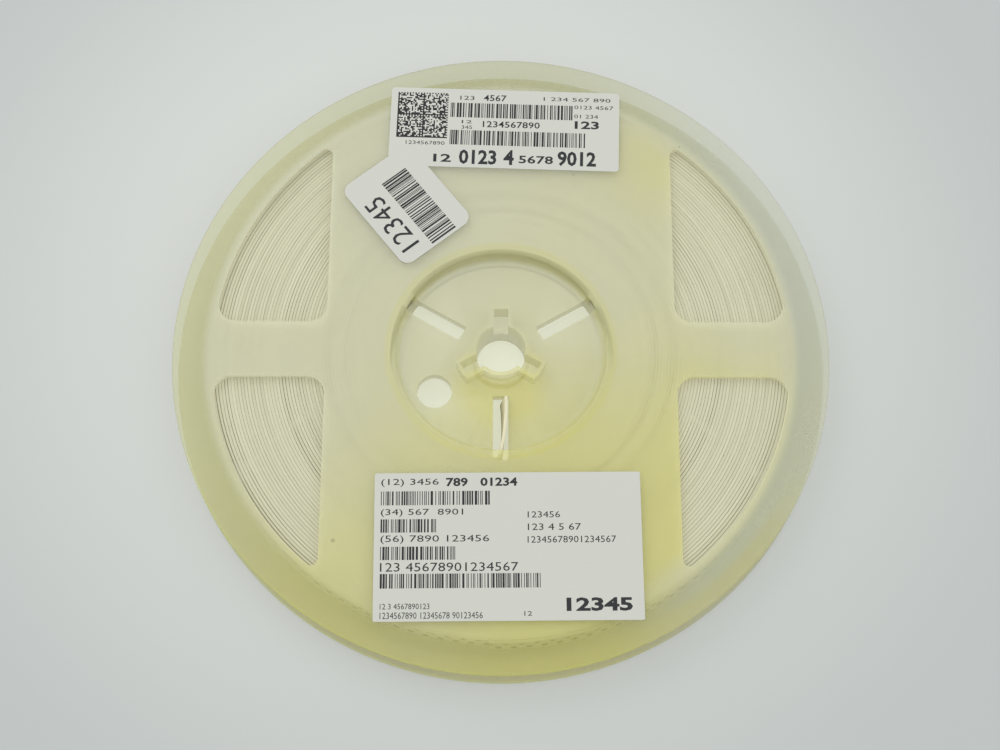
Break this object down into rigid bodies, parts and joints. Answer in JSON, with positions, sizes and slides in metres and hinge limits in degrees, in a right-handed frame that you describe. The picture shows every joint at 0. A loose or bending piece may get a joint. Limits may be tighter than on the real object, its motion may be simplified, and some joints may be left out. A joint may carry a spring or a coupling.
{
  "type": "smd tape reel",
  "caption": "Translucent plastic tape reel with windowed flanges, keyed hub, wound component tape and three paper labels.",
  "frame": {"origin": "on the arbor axis, at the outer face of the back flange that the reel lies on", "axes": "+Z along the arbor axis out of the front face, +Y towards the front face's top label, +X to its right"},
  "size_m": [0.178, 0.178, 0.0116],
  "materials": {
    "reel_plastic": "frosted translucent, softly glossy",
    "tape_paper": "matt cut edges",
    "label_paper": "smooth"
  },
  "bodies": {
    "root": {"front_half": "reel_plastic", "back_half": "reel_plastic", "tape_roll": "tape_paper", "label_top": "label_paper", "label_small": "label_paper", "label_bottom": "label_paper"}
  },
  "joints": []
}
